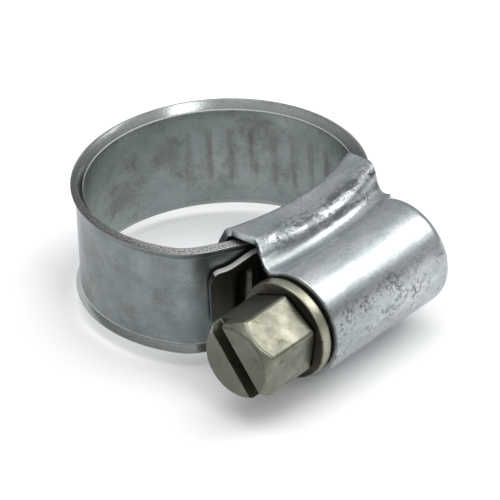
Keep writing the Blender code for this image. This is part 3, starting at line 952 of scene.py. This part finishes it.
def screw_material():
    """Zinc with an olive tint, mottled facets, and oil with painted shade and a little rust behind the
    hexagon.
    """
    n = Nodes("screw_zinc_plating")
    where = n.add("ShaderNodeTexCoord").outputs["Object"]
    along = n.math("SUBTRACT", n.split(where)[1], RING_CENTRE.y)
    clouds = n.noise(where, scale=520.0, detail=5.0, rough=0.65)
    specks = n.noise(where, scale=2600.0, detail=4.0, rough=0.6)

    colour = n.clouded(clouds, (0.30, 0.50, 0.70), SCREW_CLOUDS)
    colour = n.mix(n.falls(specks, 0.26, 0.40, high=0.5), colour, SCREW_SPECKS)
    on_flange = n.rises(along, FLANGE_FRONT_Y, FLANGE_FRONT_Y + FLANGE_ROUND, high=0.6)
    colour = n.mix(on_flange, colour, FLANGE_OLIVE)
    near_neck = n.falls(n.distance(along, FLANGE_FRONT_Y), 0.0, 0.5 * MM)
    rusty = n.noise(where, scale=900.0, detail=3.0, rough=0.6)
    colour = n.mix(n.times(near_neck, n.rises(rusty, 0.56, 0.66, high=0.8)), colour, RUST)
    # Painted shade and oil darken the neck between the hexagon and the flange
    neck_start = (HEX_BACK_Y - COLOUR_FADE, HEX_BACK_Y + COLOUR_FADE)
    neck_end = (FLANGE_FRONT_Y + COLOUR_FADE, FLANGE_FRONT_Y + NECK_ROUND)
    colour = n.mix(n.times(n.between(along, *neck_start, *neck_end), 0.75), colour, OIL_AND_SHADE)
    end_face = n.falls(along, HEX_FRONT_Y + COLOUR_FADE, HEX_FRONT_Y + CHAMFER_ROUND, high=0.6)
    colour = n.mix(end_face, colour, END_FACE_GREY)
    grime = n.noise(where, scale=380.0, detail=5.0, rough=0.7)
    colour = n.mix(n.rises(grime, 0.56, 0.68, high=0.7), colour, GRIME)

    roughness = n.grey(clouds, low=0.42, high=0.28, start=0.3, end=0.7)
    return n.finish(colour, roughness, n.bump(specks, distance=0.03 * MM, strength=0.45))


# ---------------------------------------------------------------- stage


def view_axes():
    """World directions of the picture's right and up."""
    azimuth = math.radians(CAMERA_AZIMUTH)
    elevation = math.radians(CAMERA_ELEVATION)
    roll = math.radians(CAMERA_ROLL)
    right = Vector((math.cos(azimuth), math.sin(azimuth), 0.0))
    ahead = Vector((-math.sin(azimuth), math.cos(azimuth), 0.0))
    up = ahead * math.sin(elevation) + Vector((0, 0, 1)) * math.cos(elevation)
    return right * math.cos(roll) - up * math.sin(roll), right * math.sin(roll) + up * math.cos(roll)


def camera():
    right, up = view_axes()
    back = right.cross(up)
    data = bpy.data.cameras.new("camera")
    data.sensor_width = SENSOR
    data.lens = SENSOR * CAMERA_DISTANCE / VIEW_WIDTH
    data.clip_start = CLIP_START
    data.clip_end = CLIP_END
    thing = bpy.data.objects.new("camera", data)
    bpy.context.collection.objects.link(thing)
    aim = RING_CENTRE + right * AIM_RIGHT + up * AIM_UP
    place = aim + back * CAMERA_DISTANCE
    thing.matrix_world = Matrix.Translation(place) @ Matrix((right, up, back)).transposed().to_4x4()
    bpy.context.scene.camera = thing


def floor():
    corners = ((-1, -1), (1, -1), (1, 1), (-1, 1))
    points = [Vector((x * FLOOR_HALF, y * FLOOR_HALF, 0.0)) for x, y in corners]
    mesh = bpy.data.meshes.new("floor")
    mesh.from_pydata(points, [], [(0, 1, 2, 3)])
    thing = bpy.data.objects.new("floor", mesh)
    bpy.context.collection.objects.link(thing)
    material = bpy.data.materials.new("floor_white")
    material.use_nodes = True
    shader = material.node_tree.nodes["Principled BSDF"]
    shader.inputs["Base Color"].default_value = (*FLOOR_COLOUR, 1.0)
    shader.inputs["Roughness"].default_value = FLOOR_ROUGHNESS
    mesh.materials.append(material)


def softbox(name, azimuth, elevation, distance, size, power):
    """Softbox that faces the object. Azimuth 0 is towards -Y and 90 towards +X."""
    a, e = math.radians(azimuth), math.radians(elevation)
    towards = Vector((math.sin(a) * math.cos(e), -math.cos(a) * math.cos(e), math.sin(e)))
    data = bpy.data.lights.new(name, "AREA")
    data.shape = "RECTANGLE"
    data.size, data.size_y = size
    data.energy = power
    thing = bpy.data.objects.new(name, data)
    bpy.context.collection.objects.link(thing)
    thing.location = RING_CENTRE + towards * distance
    thing.rotation_euler = towards.to_track_quat("Z", "Y").to_euler()


def lights():
    softbox("top_softbox", azimuth=42, elevation=88, distance=0.8, size=(0.9, 0.9), power=4.0)
    softbox("key_softbox", azimuth=148, elevation=42, distance=0.6, size=(0.28, 0.28), power=1.0)
    softbox("front_softbox", azimuth=70, elevation=38, distance=0.7, size=(0.2, 0.3), power=0.9)


def sky():
    """White surroundings, darker towards the horizon."""
    scene = bpy.context.scene
    scene.view_settings.view_transform = "Standard"
    scene.world = scene.world or bpy.data.worlds.new("world")
    scene.world.use_nodes = True
    tree = scene.world.node_tree
    where = tree.nodes.new("ShaderNodeTexCoord")
    parts = tree.nodes.new("ShaderNodeSeparateXYZ")
    rise = tree.nodes.new("ShaderNodeMapRange")
    rise.inputs["From Min"].default_value = 0.0
    rise.inputs["From Max"].default_value = SKY_RISE
    rise.inputs["To Min"].default_value = SKY_LOW
    rise.inputs["To Max"].default_value = SKY_HIGH
    background = tree.nodes["Background"]
    background.inputs["Color"].default_value = (*SKY_COLOUR, 1.0)
    tree.links.new(where.outputs["Generated"], parts.inputs["Vector"])
    tree.links.new(parts.outputs["Z"], rise.inputs["Value"])
    tree.links.new(rise.outputs["Result"], background.inputs["Strength"])


camera()
floor()
lights()
sky()
band(band_material())
housing(housing_material())
screw(screw_material())
